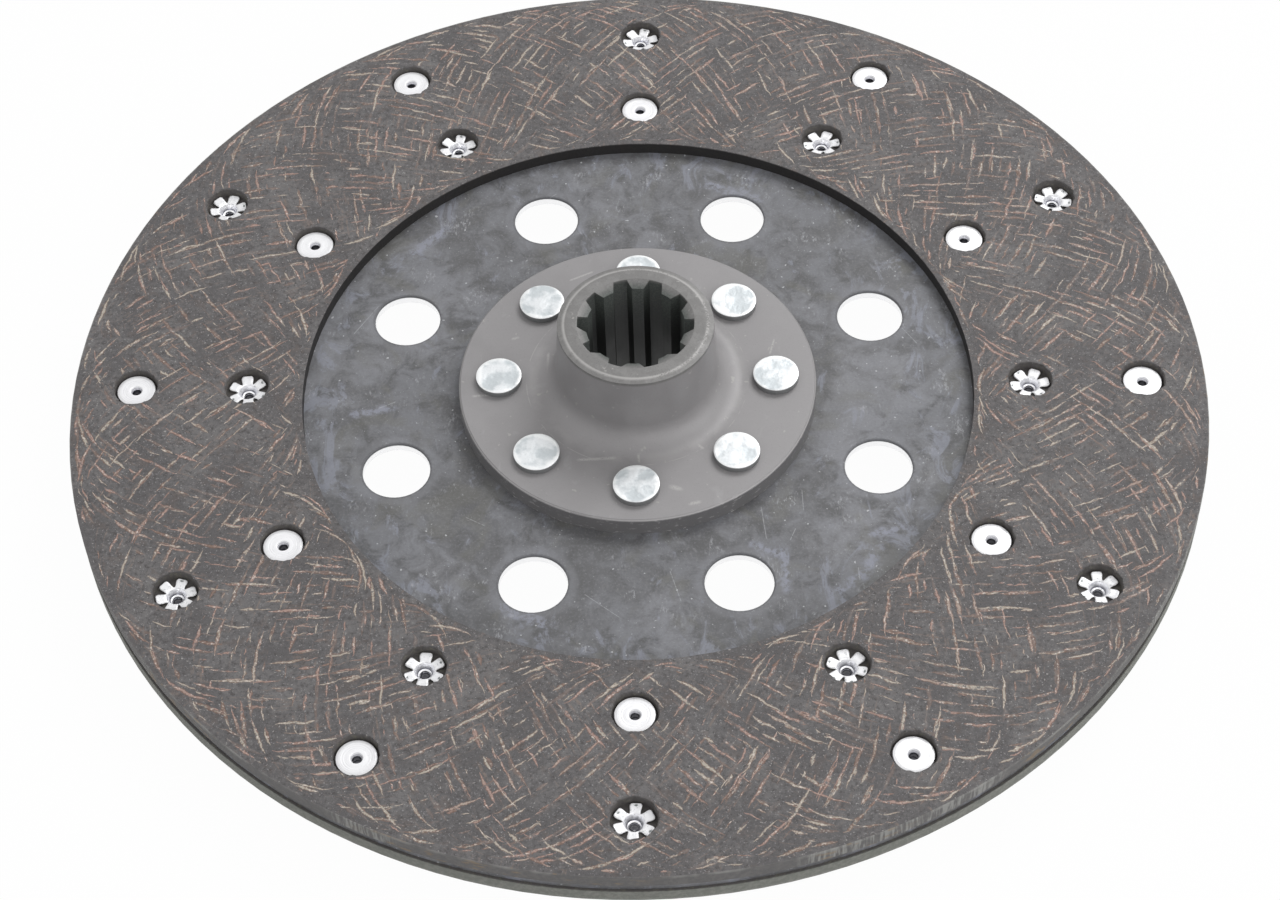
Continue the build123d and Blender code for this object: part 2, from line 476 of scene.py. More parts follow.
def binder_tone(g, settings, place):
    """The binder's mottled colour, with the clouds, the mottling and the grain that it comes from."""
    clouds = g.noise(place, 0.09, 3, 0.6)
    mottle = g.noise(place, 0.8, 4, 0.7)
    grain = g.noise(place, 3.6, 3, 0.7)
    worn = g.step(clouds * 0.45 + mottle * 0.55, 0.43, 0.66)
    tone = g.mix(worn, settings.base_colour, settings.worn_colour)
    tone = g.mix(g.step(mottle, 0.46, 0.32) * 0.6, tone, settings.dark_colour)
    tone = g.mix(g.step(grain, 0.56, 0.70) * 0.4, tone, srgb(128, 125, 123))
    tone = g.mix(g.step(grain, 0.44, 0.30) * 0.4, tone, settings.dark_colour)
    resin = g.step(g.noise(place, 0.3, 3, 0.6), 0.54, 0.68)
    tone = g.mix(resin * 0.28, tone, srgb(98, 85, 78))
    flecks = g.noise(place, 2.4, 1, 0.5)
    tone = g.mix(g.step(flecks, 0.66, 0.74) * 0.6, tone, srgb(158, 157, 159))
    tone = g.mix(g.step(flecks, 0.34, 0.26) * 0.6, tone, srgb(58, 56, 56))
    return tone, clouds, mottle, grain


def lining_material(settings, yarns):
    """Moulded friction lining: mottled binder, faint crossing fibres, dark cut walls, painted shade on the
    bore's wall and a rubbed rim.
    """
    material, g = new_material("woven_lining", settings.base_colour)
    place, _, _, z, radius, angle = polar(g)
    bore, rim, face = (size / MM for size in lining_sizes())
    middle, swing = (rim + bore) / 2, (rim - bore) / 2 - SWING_MARGIN / MM
    depth = face - g.math("ABSOLUTE", z)
    tone, clouds, mottle, grain = binder_tone(g, settings, place)

    # Fibres of both crossing families, sunk in the binder
    swing_angle = yarn_swing(g, radius, middle, swing)
    patch = g.step(g.noise(place, 0.07, 1), 0.46, 0.54)
    families = []
    apart = 37  # so that the two families' noise differs
    for sign, share in ((1.0, patch), (-1.0, 1 - patch)):
        lane = angle - swing_angle * (sign / yarns.waves)
        across = [g.math(turn, lane) * middle * 0.85 for turn in ("COSINE", "SINE")]
        hairs = g.noise(g.vector(*across, radius * 0.14 + sign * apart), 1.0, 2, 0.6)
        families.append(g.step(hairs, 0.58, 0.70) * (share * 0.75 + 0.25))
    sunk = g.most(*families)
    tone = g.mix(sunk * g.step(mottle, 0.40, 0.60) * 0.55, tone, settings.fibre_colour)

    # Pale specks
    specks = g.step(g.noise(place, 1.5, 1, 0.5), 0.69, 0.76)
    tone = g.mix(specks * 0.7, tone, srgb(168, 165, 163))

    # The rim is smooth above, with upright rub marks in parts, and paler below
    ring = g.vector(g.math("COSINE", angle) * rim, g.math("SINE", angle) * rim, 0.0)

    def upright_noise(scale, rise):
        """Noise in marks that stand upright on the rim, rise being how fast they change with height."""
        return g.noise(g.moved(g.scaled(ring, scale, scale, 1.0), g.vector(0.0, 0.0, z * rise)), 1.0, 3, 0.6)

    rubs = upright_noise(1.3, 0.12)
    marked = g.step(g.noise(ring, 0.02, 1), 0.50, 0.58)
    above = g.mix(g.step(mottle, 0.4, 0.62), srgb(92, 91, 91), srgb(106, 104, 103))
    above = g.mix(marked * g.step(rubs, 0.42, 0.60), above, srgb(142, 142, 139))
    below = g.mix(g.step(mottle, 0.4, 0.62), srgb(112, 114, 108), srgb(130, 131, 125))
    rim_tone = g.mix(g.step(z, -0.5, 0.5), below, above)
    corner = g.step(depth, 0.9, 0.15) * g.step(clouds, 0.40, 0.60)
    rim_tone = g.mix(corner * 0.6, rim_tone, srgb(150, 149, 146))
    bundles = g.step(upright_noise(0.22, 0.9), 0.55, 0.63)
    strands = bundles * g.step(g.noise(ring, 0.016, 1), 0.52, 0.44) * g.step(z, 0.6, 1.4)
    rim_tone = g.mix(strands * 0.6, rim_tone, srgb(138, 118, 92))
    rubbed = g.step(radius, rim - 0.4, rim - 0.08)
    tone = g.mix(rubbed * 0.9, tone, rim_tone)

    # The counterbores' cut walls are dark grey, and the bore's wall gets painted shade, near black
    cut = g.step(depth + (mottle - 0.5) * 0.8, 0.10, 0.55) * g.step(depth, 0.01, 0.06) * (1 - rubbed)
    dust = g.step(g.noise(place, 0.9, 3, 0.65), 0.50, 0.66)
    tone = g.mix(cut * 0.9, tone, g.mix(dust * 0.55, settings.wall_colour, srgb(116, 114, 100)))
    # Painted shade on the bore's wall, which lies in a recess
    shadowed = g.step(radius, bore + 0.5, bore + 0.1) * g.step(depth, 0.1, 0.4)
    tone = g.mix(shadowed * 0.9, tone, settings.bore_shade_colour)

    # Crumbled binder round the counterbores
    out, off = folded(g, radius, angle, len(INNER_RIVETS))
    circles = [circle_radius(nodes[0]) / MM for nodes in (INNER_RIVETS, OUTER_RIVETS)]
    away = g.math("MINIMUM", *(g.distance(out - circle, off) for circle in circles)) - COUNTERBORE / MM
    ragged = away + (g.noise(place, 0.7, 3, 0.65) - 0.5) * 2.4
    smudged = g.step(ragged, 0.7, 0.1) * g.step(clouds, 0.40, 0.56)
    tone = g.mix(smudged * 0.4, tone, settings.dark_colour)

    height = mottle * 0.5 + grain * 0.5 + sunk * 0.4
    roughness = g.step(mottle, 0.3, 0.7, 0.62, 0.8)
    finish_material(g, tone, roughness, 0.0, height, strength=0.4, distance=0.12 * MM, specular=0.35)
    return material


def yarn_material(yarns, lining):
    """Copper wires and straw yarns, partly filmed over by binder, with painted highlights along their cores
    and ragged brown edges that are partly a painted shadow.
    """
    material, g = new_material("yarn_strokes", yarns.copper_colour)
    place = polar(g)[0]
    tone, film, edge = (g.attribute(name) for name in ("tone", "film", "edge"))
    patches = g.noise(place, 0.9, 3, 0.65)
    frayed = g.noise(place, 2.0, 3, 0.6)
    ragged = edge + (frayed - 0.5) * 1.5
    colours = g.mix(g.step(tone + patches * 0.5, 0.62, 0.86), yarns.copper_colour, yarns.straw_colour)
    colours = g.mix(g.step(patches + film * 0.5, 0.66, 0.90), colours, yarns.brown_colour)
    # Painted highlights: pale glints along the strokes' cores
    painted_glints = g.step(g.noise(place, 1.4, 3, 0.6), 0.52, 0.66) * g.step(ragged, 0.5, 0.1)
    colours = g.mix(painted_glints * 0.8, colours, srgb(218, 208, 199))
    # The strokes' ragged edges are painted dark brown: partly binder film, partly a painted shadow along
    # each stroke
    colours = g.mix(g.step(ragged, 0.24, 0.54) * 0.85, colours, srgb(100, 78, 69))
    bared = binder_tone(g, lining, place)[0]
    filmed, sunk = g.step(film, 0.6, 1.0) * 0.75, g.step(patches, 0.46, 0.36) * 0.9
    colours = g.mix(g.most(g.step(ragged, 0.60, 0.82), filmed, sunk), colours, bared)
    roughness = g.step(patches, 0.3, 0.7, 0.5, 0.78)
    finish_material(g, colours, roughness, 0.0, frayed, strength=0.3, distance=0.05 * MM)
    return material


# Scratches and smudges: from x and y to x and y, and the width, in millimetres
PLATE_SCRATCHES = (
    (29.9, -36.8, 30.9, -45.8, 0.17),
    (37.9, -43.2, 36.6, -46.4, 0.15),
    (39.8, -31.5, 40.0, -37.5, 0.12),
    (52.4, -54.9, 52.6, -58.2, 0.16),
    (-41.0, -38.9, -36.6, -41.4, 0.15),
    (-67.4, -44.6, -67.6, -47.4, 0.14),
    (-60.4, -2.8, -64.0, -4.6, 0.2),
    (-12.0, -62.0, -4.0, -68.5, 0.14),
    (8.0, -55.5, 10.5, -64.0, 0.14),
    (-30.0, 62.0, -22.0, 68.0, 0.2),
    (18.0, 66.0, 26.0, 61.5, 0.2),
    (64.0, 24.0, 70.0, 15.0, 0.16),
    (-72.0, 20.0, -66.5, 29.0, 0.18),
)
PLATE_SMUDGES = (
    (47.5, -61.5, 53.5, -57.0, 2.6),
    (54.5, -54.5, 57.0, -50.0, 2.4),
    (57.5, -44.5, 62.0, -43.5, 2.2),
    (35.0, -50.5, 35.2, -59.5, 2.0),
    (29.0, -48.5, 32.5, -50.0, 2.2),
    (-69.5, -6.4, -62.0, -4.8, 2.2),
    (-30.0, -66.0, -22.0, -70.0, 2.8),
    (20.0, 70.0, 30.0, 66.0, 2.6),
    (-58.0, 48.0, -52.0, 54.0, 2.6),
)
HUB_SCRATCHES = (
    (-13.6, -25.5, -5.8, -25.1, 0.6),
    (-22.2, 7.5, -22.0, 1.0, 0.5),
    (9.0, -34.2, 9.9, -34.5, 0.9),
    (13.4, -39.1, 14.6, -38.8, 0.7),
    (-40.0, -5.2, -36.6, -4.9, 0.5),
    (-30.9, 13.4, -30.3, 13.6, 0.5),
    (0.4, -24.6, 0.6, -26.2, 0.4),
    (15.3, -21.6, 15.7, -22.0, 0.5),
    (33.0, 8.0, 34.0, 12.0, 0.35),
    (-17.0, 33.0, -12.0, 35.5, 0.4),
)


def plate_material(metals):
    """Phosphated sheet steel: mottled slate grey with scuffs, pale smudges, specks and scratches."""
    material, g = new_material("phosphated_plate", metals.plate_colour)
    place, x, y, z, radius, angle = polar(g)
    clouds = g.noise(place, 0.045, 4, 0.6, 0.4)
    blotches = g.noise(place, 0.16, 5, 0.68, 0.5)
    smears = g.noise(g.scaled(place, 0.12, 0.07, 0.1), 1.0, 5, 0.72, 1.0)
    fine = g.noise(place, 1.5, 4, 0.7)
    cloudy = g.step(clouds * 0.5 + blotches * 0.5, 0.43, 0.60)
    tone = g.mix(cloudy, metals.plate_colour, metals.plate_cloud_colour)
    tone = g.mix(g.step(blotches, 0.47, 0.34) * 0.5, tone, srgb(78, 78, 79))
    broad = g.step(g.noise(place, 0.028, 2, 0.55, 0.3) * 0.7 + blotches * 0.3, 0.49, 0.60)
    tone = g.mix(broad * 0.36, tone, srgb(140, 141, 146))
    stains = g.step(g.noise(place, 0.07, 3, 0.6, 0.8), 0.54, 0.66)
    tone = g.mix(stains * 0.4, tone, srgb(102, 101, 95))

    # Bluish smudges, more of them next to the linings, and scuffs of many small marks
    outward = g.step(radius, 64.0, 80.0) * 0.08
    tone = g.mix(g.step(smears + outward, 0.59, 0.70) * 0.6, tone, srgb(138, 141, 152))
    scuffs = g.step(g.noise(place, 0.11, 3, 0.6, 0.6), 0.56, 0.68)
    marks = g.step(g.noise(g.scaled(place, 1.6, 0.7, 1.0), 1.0, 4, 0.7), 0.50, 0.64)
    tone = g.mix(scuffs * marks * 0.6, tone, srgb(168, 169, 173))
    tone = g.mix(g.step(fine, 0.51, 0.68) * 0.27, tone, srgb(142, 143, 146))
    tone = g.mix(g.step(fine, 0.45, 0.30) * 0.28, tone, srgb(68, 69, 72))
    specks = g.step(g.noise(place, 0.8, 1, 0.5), 0.73, 0.78)
    tone = g.mix(specks * 0.7, tone, srgb(196, 197, 200))
    dust = g.step(g.noise(place, 2.6, 1, 0.5), 0.72, 0.77) * g.step(blotches, 0.40, 0.56)
    tone = g.mix(dust * 0.6, tone, srgb(178, 179, 180))
    smudges = scratches(g, x, y, PLATE_SMUDGES) * g.step(g.noise(place, 0.5, 5, 0.75), 0.36, 0.64)
    tone = g.mix(g.step(smudges, 0.05, 0.7) * 0.6, tone, srgb(146, 149, 162))
    lines = scratches(g, x, y, PLATE_SCRATCHES) * g.step(fine, 0.34, 0.5)
    tone = g.mix(lines * 0.55, tone, srgb(176, 177, 180))

    # Round each relief hole a paler ring, then painted shade on the rolled edge; the holes' walls are bright
    # cut metal below them
    out, off = folded(g, radius, angle, RELIEF_HOLES, 0.5)
    away = g.distance(out - RELIEF_CIRCLE / MM, off) - RELIEF_RADIUS / MM
    tone = g.mix(g.step(away + (fine - 0.5) * 1.2, 3.25, 1.35) * 0.3, tone, srgb(132, 133, 138))
    # Painted shade on the relief holes' rolled edges
    tone = g.mix(g.step(away + (fine - 0.5) * 0.8, 0.7, 0.25) * 0.45, tone, srgb(70, 71, 74))
    bare = g.step(away, 0.17, 0.05) * g.step(z, 0.8, 0.5)
    tone = g.mix(bare, tone, srgb(250, 250, 251))
    roughness = g.step(clouds, 0.3, 0.7, 0.5, 0.64) - bare * 0.28
    height = fine * 0.6 + blotches * 0.4
    finish_material(g, tone, roughness, bare * 0.8 + 0.15, height, strength=0.18, distance=0.1 * MM)
    return material


def hub_material(metals, rivets):
    """Turned and phosphated hub: neutral grey with worn edges, a painted highlight on the flange's land,
    painted shade on the flange's wall, and oily splines with painted shade that makes them nearly black deep
    in the bore.
    """
    material, g = new_material("phosphated_hub", metals.hub_colour)
    place, x, y, z, radius, _ = polar(g)
    front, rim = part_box("hub")[1].z / MM, half_width("hub") / MM
    plate_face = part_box("carrier_plate")[1].z / MM
    above = z - flange_height(rivets) / MM
    clouds = g.noise(place, 0.1, 4, 0.6)
    fine = g.noise(place, 2.4, 4, 0.7)
    smears = g.noise(g.scaled(place, 0.22, 0.12, 0.2), 1.0, 4, 0.65, 0.6)
    tone = g.mix(g.step(clouds, 0.36, 0.66) * 0.45, metals.hub_colour, srgb(151, 149, 150))
    stained = g.step(g.noise(place, 0.3, 4, 0.65), 0.44, 0.62)
    facing = g.mix(stained * 0.8, metals.hub_face_colour, srgb(126, 125, 124))
    facing = g.mix(g.step(fine, 0.46, 0.34) * 0.3, facing, srgb(94, 93, 92))
    tone = g.mix(g.step(z, front - 1.6, front - 0.9), tone, facing)
    tone = g.mix(g.step(fine, 0.55, 0.72) * 0.15, tone, srgb(158, 157, 157))
    tone = g.mix(g.step(fine, 0.42, 0.28) * 0.25, tone, srgb(92, 91, 90))
    tone = g.mix(g.step(smears, 0.60, 0.74) * 0.35, tone, srgb(160, 159, 160))
    spots = g.step(g.noise(place, 0.5, 2, 0.5), 0.69, 0.75)
    tone = g.mix(spots * 0.45, tone, srgb(176, 174, 170))
    lines = scratches(g, x, y, HUB_SCRATCHES) * g.step(above, 1.7, 0.7) * g.step(fine, 0.34, 0.5)
    tone = g.mix(lines * 0.6, tone, srgb(188, 186, 184))

    # Next to the barrel, a painted highlight on the flange's land, and a turned arc worn light
    low = g.step(above, 1.3, 0.5)
    land_highlight = g.step(g.math("ABSOLUTE", radius - 25.6), 1.9, 0.3) * g.step(clouds, 0.42, 0.58) * low
    tone = g.mix(land_highlight * 0.2, tone, srgb(170, 168, 167))
    arc = g.step(g.math("ABSOLUTE", radius - 27.4), 0.16, 0.05) * g.step(smears, 0.44, 0.56) * low
    tone = g.mix(arc * 0.4, tone, srgb(178, 176, 174))
    turning = g.noise(g.vector(radius * 3.0, z * 3.0, 0.0), 1.0, 3, 0.6)

    # The flange's wall gets painted shade, dark, with light nicks; its edges and the front's are worn light
    # in parts
    wall = g.step(radius, rim - 0.2, rim - 0.05) * g.step(above, -0.1, -0.3)
    tone = g.mix(wall * 0.6, tone, srgb(88, 88, 90))
    nicks = g.step(g.noise(g.scaled(place, 0.5, 0.5, 1.3), 1.0, 4, 0.65), 0.57, 0.66)
    tone = g.mix(nicks * wall * 0.6, tone, srgb(170, 169, 168))
    worn = g.step(g.noise(place, 0.06, 2, 0.6) * 0.6 + fine * 0.4, 0.38, 0.48)
    flange_edge = g.step(radius, rim - 0.36, rim - 0.16) * g.step(above, -0.4, -0.18)
    foot = g.step(radius, rim - 0.3, rim - 0.1) * g.step(z, plate_face + 0.45, plate_face + 0.2) * nicks
    front_edge = g.step(z, front - 0.35, front - 0.1) * g.step(radius, 17.0, 17.6)
    edges = g.most(g.most(flange_edge, front_edge) * worn, foot)
    tone = g.mix(edges * 0.85, tone, srgb(192, 190, 188))

    # The splines are oily, with painted shade that darkens them towards the back
    in_bore = g.step(radius, 14.7, 14.1) * g.step(z, front - 0.1, front - 1.3)
    oil_and_shade = g.mix(g.step(fine, 0.4, 0.65), srgb(64, 69, 66), srgb(90, 96, 92))
    oil_and_shade = g.mix(g.step(z, front - 2, front - 16) * 0.9, oil_and_shade, srgb(30, 32, 31))
    tone = g.mix(in_bore * 0.95, tone, oil_and_shade)
    roughness = g.step(clouds, 0.3, 0.7, 0.42, 0.54)
    height = fine * 0.5 + turning * 0.5
    finish_material(g, tone, roughness, 0.15, height, strength=0.16, distance=0.08 * MM)
    return material


def zinc_material(metals, rivets):
    """Zinc-plated hub rivets: satin, cloudy, with painted highlights on the rims, painted shade on the
    sides, and broad low dents that catch the light.
    """
    material, g = new_material("zinc_rivet", metals.zinc_colour)
    place, _, _, z, _, _ = polar(g)
    ring_radius = g.attribute("ring_radius") / MM
    flange, head = flange_height(rivets) / MM, rivets.hub_head_height / MM
    dents = g.noise(place, 0.22, 3, 0.5)
    fine = g.noise(place, 2.6, 3, 0.6)
    tone = g.mix(g.step(dents, 0.40, 0.60), srgb(194, 200, 203), metals.zinc_colour)
    tone = g.mix(g.step(fine, 0.54, 0.74) * 0.3, tone, srgb(166, 170, 172))
    # Painted highlight: the heads' rims are painted bright
    rim = g.step(ring_radius + (dents - 0.5) * 4.0, 4.4, 5.3)
    tone = g.mix(rim * 0.7, tone, srgb(246, 247, 247))
    # Painted shade: the heads' sides are painted darker
    side = g.step(z, flange + head - 0.07, flange + head - 0.2) * g.step(z, flange - 0.3, flange - 0.1)
    tone = g.mix(side, tone, srgb(132, 133, 134))
    roughness = g.step(fine, 0.3, 0.7, 0.34, 0.48)
    height = dents * 3.0 + fine * 0.1
    finish_material(g, tone, roughness, 0.4, height, strength=0.3, distance=0.4 * MM)
    return material


def tin_material(metals, rivets):
    """Bright lining rivets: faint turned rings on the heads, marked tips on the petals with painted shade in
    their dimples, and painted shade down the throats and holes.
    """
    material, g = new_material("bright_rivet", metals.tin_colour)
    place, _, _, z, _, _ = polar(g)
    ring_radius, dimple_shade, hole_shade = (g.attribute(name) for name in ("ring_radius", "dimple_shade", "hole_shade"))
    ring_radius, seat = ring_radius / MM, rivets.lining_seat / MM
    ring_pitch = 0.5
    rings = g.math("SINE", ring_radius * (math.tau / ring_pitch)) * g.step(ring_radius, 0.0, 1.0)
    fine = g.noise(place, 2.6, 4, 0.65)
    tone = g.mix(g.step(fine, 0.58, 0.70) * 0.4, metals.tin_colour, srgb(190, 192, 198))
    marks = g.step(g.noise(place, 1.5, 3, 0.65), 0.57, 0.68) * g.step(ring_radius, 1.0, 0.0)
    tone = g.mix(marks * 0.45, tone, srgb(140, 146, 148))
    turned = g.step(g.noise(place, 0.25, 2, 0.5), 0.46, 0.60) * g.step(ring_radius, 2.0, 2.4)
    tone = g.mix(g.step(rings, 0.5, 1.0) * turned * 0.25, tone, srgb(170, 170, 178))
    # Painted shade in the petals' dimples
    tone = g.mix(g.step(dimple_shade + (fine - 0.5) * 0.9, 0.45, 0.75) * 0.85, tone, srgb(84, 94, 92))
    # Painted shade down the throats and the holes through the heads: bluish grey first, dark deepest
    tone = g.mix(g.step(hole_shade, 0.0, 0.5), tone, srgb(160, 161, 176))
    tone = g.mix(g.step(hole_shade, 0.5, 0.95), tone, srgb(80, 80, 86))
    roughness = g.step(fine, 0.3, 0.7, 0.3, 0.45)
    metallic = g.step(g.math("ABSOLUTE", z), seat + 0.7, seat + 0.1, 0.25, 0.9)
    height = rings * 0.25 + fine * 0.5
    finish_material(g, tone, roughness, metallic, height, strength=0.3, distance=0.05 * MM)
    return material


def seen_rays(graph):
    """1 for the rays that come from the camera, straight, mirrored or through glass, and 0 for the rest."""
    straight = graph.node("ShaderNodeLightPath", {}, {}, "Is Camera Ray")
    return graph.most(straight, straight.out("Is Glossy Ray"), straight.out("Is Transmission Ray"))


def floor_material():
    """A pale floor that shows white, and keeps a faint shadow."""
    material, g = new_material("pale_floor", (1, 1, 1, 1))
    diffuse = g.node("ShaderNodeBsdfDiffuse", {}, {"Color": (0.8, 0.8, 0.8, 1)}, "BSDF")
    white = g.node("ShaderNodeEmission", {}, {"Color": (1, 1, 1, 1), "Strength": 1.0}, "Emission")
    mixed = g.node("ShaderNodeMixShader", {}, {0: seen_rays(g) * 0.975, 1: diffuse, 2: white})
    g.node("ShaderNodeOutputMaterial", {}, {"Surface": mixed})
    return material


# Pieces made by Geometry Nodes


def new_geometry_tree(name, inputs):
    """A Geometry Nodes tree with named inputs. Gives its graph, and the inputs as terms."""
    tree = bpy.data.node_groups.new(name, "GeometryNodeTree")
    graph = Graph(tree)
    tree.interface.new_socket("Geometry", in_out="INPUT", socket_type="NodeSocketGeometry")
    for label, kind in inputs.items():
        tree.interface.new_socket(label, in_out="INPUT", socket_type="NodeSocket" + kind)
    tree.interface.new_socket("Geometry", in_out="OUTPUT", socket_type="NodeSocketGeometry")
    group = graph.tree.nodes.new("NodeGroupInput")
    return graph, {label: Term(graph, group.outputs[label]) for label in inputs}


def end_geometry_tree(graph, geometry, material):
    """Ends a tree in Realize Instances and Set Material."""
    geometry = graph.node("GeometryNodeRealizeInstances", {}, {"Geometry": geometry})
    geometry = graph.node("GeometryNodeSetMaterial", {}, {"Geometry": geometry, "Material": material})
    graph.node("NodeGroupOutput", {}, {"Geometry": geometry})


def grown(name, graph, values):
    """Runs a tree on an empty mesh with the given inputs, and gives the result as a plain piece."""
    piece = new_piece(name + "_seed", bpy.data.meshes.new(name + "_seed"))
    modifier = piece.modifiers.new("grow", "NODES")
    modifier.node_group = graph.tree
    for item in graph.tree.interface.items_tree:
        if item.in_out == "INPUT" and item.name in values:
            modifier[item.identifier] = values[item.name]
    return baked(piece, name)


YARN_INPUTS = {
    **dict.fromkeys(("Count", "Seed"), "Int"),
    **dict.fromkeys(("Lanes", "Waves", "Shortest", "Longest", "Width", "Crown", "Turn"), "Float"),
    **dict.fromkeys(("Bore", "Rim", "Face", "Inner Circle", "Outer Circle", "Hole"), "Float"),
}


def yarn_tree(material):
    """Short strips laid along the yarns' wave, in patches that run one way or the other."""
    g, given = new_geometry_tree("yarn strokes", YARN_INPUTS)
    bore, rim = given["Bore"], given["Rim"]
    middle, swing = (rim + bore) / 2, (rim - bore) / 2 - SWING_MARGIN

    def chance(offset, low=0.0, high=1.0):
        """A random number for each stroke, drawn with the tree's seed and an offset of its own."""
        return g.random_value(given["Seed"] + offset, low, high)

    def named(name):
        """What keep has stored on the strokes."""
        settings = {"data_type": "FLOAT"}
        return g.node("GeometryNodeInputNamedAttribute", settings, {"Name": name}, "Attribute")

    def keep(geometry, name, value):
        """The geometry with a value stored on its points."""
        settings = {"data_type": "FLOAT", "domain": "POINT"}
        sockets = {"Geometry": geometry, "Name": name, "Value": value}
        return g.node("GeometryNodeStoreNamedAttribute", settings, sockets)

    # Where each stroke starts, which way it runs and how long it is
    points = g.node("GeometryNodePoints", {}, {"Count": given["Count"]})
    low, high = bore + 1.2 * MM, rim - 1.0 * MM
    points = keep(points, "home", g.math("SQRT", low * low + chance(1) * (high * high - low * low)))
    home = named("home")
    points = keep(points, "bearing", chance(2, 0.0, math.tau))
    bearing = named("bearing")
    spot = g.vector(home * g.math("COSINE", bearing), home * g.math("SINE", bearing), 0.0)
    patch = g.noise(spot, 75.0, 0.0)
    flipped = chance(3) < 0.12
    one_way = patch > 0.5
    side = one_way + flipped - 2 * one_way * flipped
    points = keep(points, "side", side * 2 - 1)
    points = keep(points, "phase", named("side") * yarn_swing(g, home, middle, swing))
    lane = (bearing - named("phase") / given["Waves"]) * given["Lanes"] / math.tau
    shift = (g.math("ROUND", lane) - lane + chance(4, -0.14, 0.14)) * math.tau / given["Lanes"]
    points = keep(points, "bearing", bearing + shift)
    mostly_short = chance(5) ** 1.7
    points = keep(points, "reach", given["Shortest"] + (given["Longest"] - given["Shortest"]) * mostly_short)
    points = keep(points, "breadth", given["Width"] * chance(6, 0.5, 1.0))
    points = keep(points, "tone", chance(7))
    points = keep(points, "film", chance(8))
    points = keep(points, "wander", chance(9, 0.0, 90.0))
    points = keep(points, "edge", 0.0)

    # One flat strip for each, realised so that it can be bent
    sockets = {"Size X": 1.0, "Size Y": 1.0, "Vertices X": 10, "Vertices Y": 3}
    strip = g.node("GeometryNodeMeshGrid", {}, sockets)
    strips = g.node("GeometryNodeInstanceOnPoints", {}, {"Points": points, "Instance": strip})
    strips = g.node("GeometryNodeRealizeInstances", {}, {"Geometry": strips})
    t, v, _ = g.split(g.node("GeometryNodeInputPosition"))

    # The strip's middle line follows the wave, wanders off it and trembles, and is thin at its ends
    slope = swing * given["Waves"] * g.math("SINE", named("phase"))
    turn = t * named("reach") / g.distance(home, slope)
    wave = named("phase") + turn * given["Waves"]
    radius = middle + swing * g.math("COSINE", wave)
    climb = swing * given["Waves"] * g.math("SINE", wave) * -1
    run = g.distance(climb, radius)
    place, own = t * named("reach"), named("wander")
    wander = (g.noise(g.vector(place * 230 + own, own, 0.0), 1.0, 1) - 0.5) * 1.7 * MM
    wander = wander + (g.noise(g.vector(place * 1100 + own, 4.0, 0.0), 1.0, 0) - 0.5) * 0.5 * MM
    taper = g.most(1 - g.math("ABSOLUTE", t * 2) ** 2.4, 0.16)
    pinch = 0.45 + 1.1 * g.noise(g.vector(place * 700 + own, 9.0, 0.0), 1.0, 1)
    aside = v * named("breadth") * taper * pinch + wander
    sideways = climb / run * aside * -1
    outward = radius + radius / run * aside
    angle = named("bearing") + turn
    cosine, sine = g.math("COSINE", angle), g.math("SINE", angle)
    x = outward * cosine - sideways * sine
    y = outward * sine + sideways * cosine
    bulge = 1 - g.math("ABSOLUTE", v * 2)
    z = given["Face"] + given["Crown"] * (bulge * 1.3 - 0.3) * taper
    strips = keep(strips, "edge", g.math("ABSOLUTE", v * 2))
    strips = g.node("GeometryNodeSetPosition", {}, {"Geometry": strips, "Position": g.vector(x, y, z)})

    # Nothing hangs over a counterbore, the bore or the rim
    x, y, _ = g.split(g.node("GeometryNodeInputPosition"))
    radius = g.distance(x, y)
    out, off = folded(g, radius, g.math("ARCTAN2", y, x), len(INNER_RIVETS))
    circles = given["Inner Circle"], given["Outer Circle"]
    in_holes = [g.distance(out - circle, off) < given["Hole"] for circle in circles]
    lost = g.most(*in_holes, radius < bore + 0.3 * MM, radius > rim - 0.25 * MM) > 0.5
    settings = {"domain": "POINT", "mode": "ALL"}
    strips = g.node("GeometryNodeDeleteGeometry", settings, {"Geometry": strips, "Selection": lost})
    strips = g.node("GeometryNodeSetShadeSmooth", {}, {"Geometry": strips, "Shade Smooth": True})
    sockets = {"Geometry": strips, "Rotation": g.vector(given["Turn"], 0.0, 0.0)}
    end_geometry_tree(g, g.node("GeometryNodeTransform", {}, sockets), material)
    return g


def ring_tree(name, material):
    """Rivets on a circle, each a random one of several, turned at random, every second one upside down."""
    inputs = {
        "Count": "Int",
        "Radius": "Float",
        "Masters": "Collection",
        "Up First": "Int",
        "Alternate": "Int",
        "Seed": "Int",
    }
    g, given = new_geometry_tree(name, inputs)
    circle = g.node("GeometryNodeMeshCircle", {}, {"Vertices": given["Count"], "Radius": given["Radius"]})
    sockets = {"Collection": given["Masters"], "Separate Children": True, "Reset Children": True}
    masters = g.node("GeometryNodeCollectionInfo", {}, sockets)
    index = g.node("GeometryNodeInputIndex")
    odd = g.math("MODULO", index + given["Up First"], 2.0) * given["Alternate"]
    random_turn = g.random_value(given["Seed"], 0.0, math.tau)
    sockets = {4: 0, 5: 99, "Seed": given["Seed"] + 1}
    pick = g.node("FunctionNodeRandomValue", {"data_type": "INT"}, sockets, 2)
    sockets = {
        "Points": circle,
        "Instance": masters,
        "Pick Instance": True,
        "Instance Index": pick,
        "Rotation": g.vector(odd * math.pi, 0.0, random_turn),
    }
    rivets = g.node("GeometryNodeInstanceOnPoints", {}, sockets)
    end_geometry_tree(g, rivets, material)
    return g


# Rivet masters


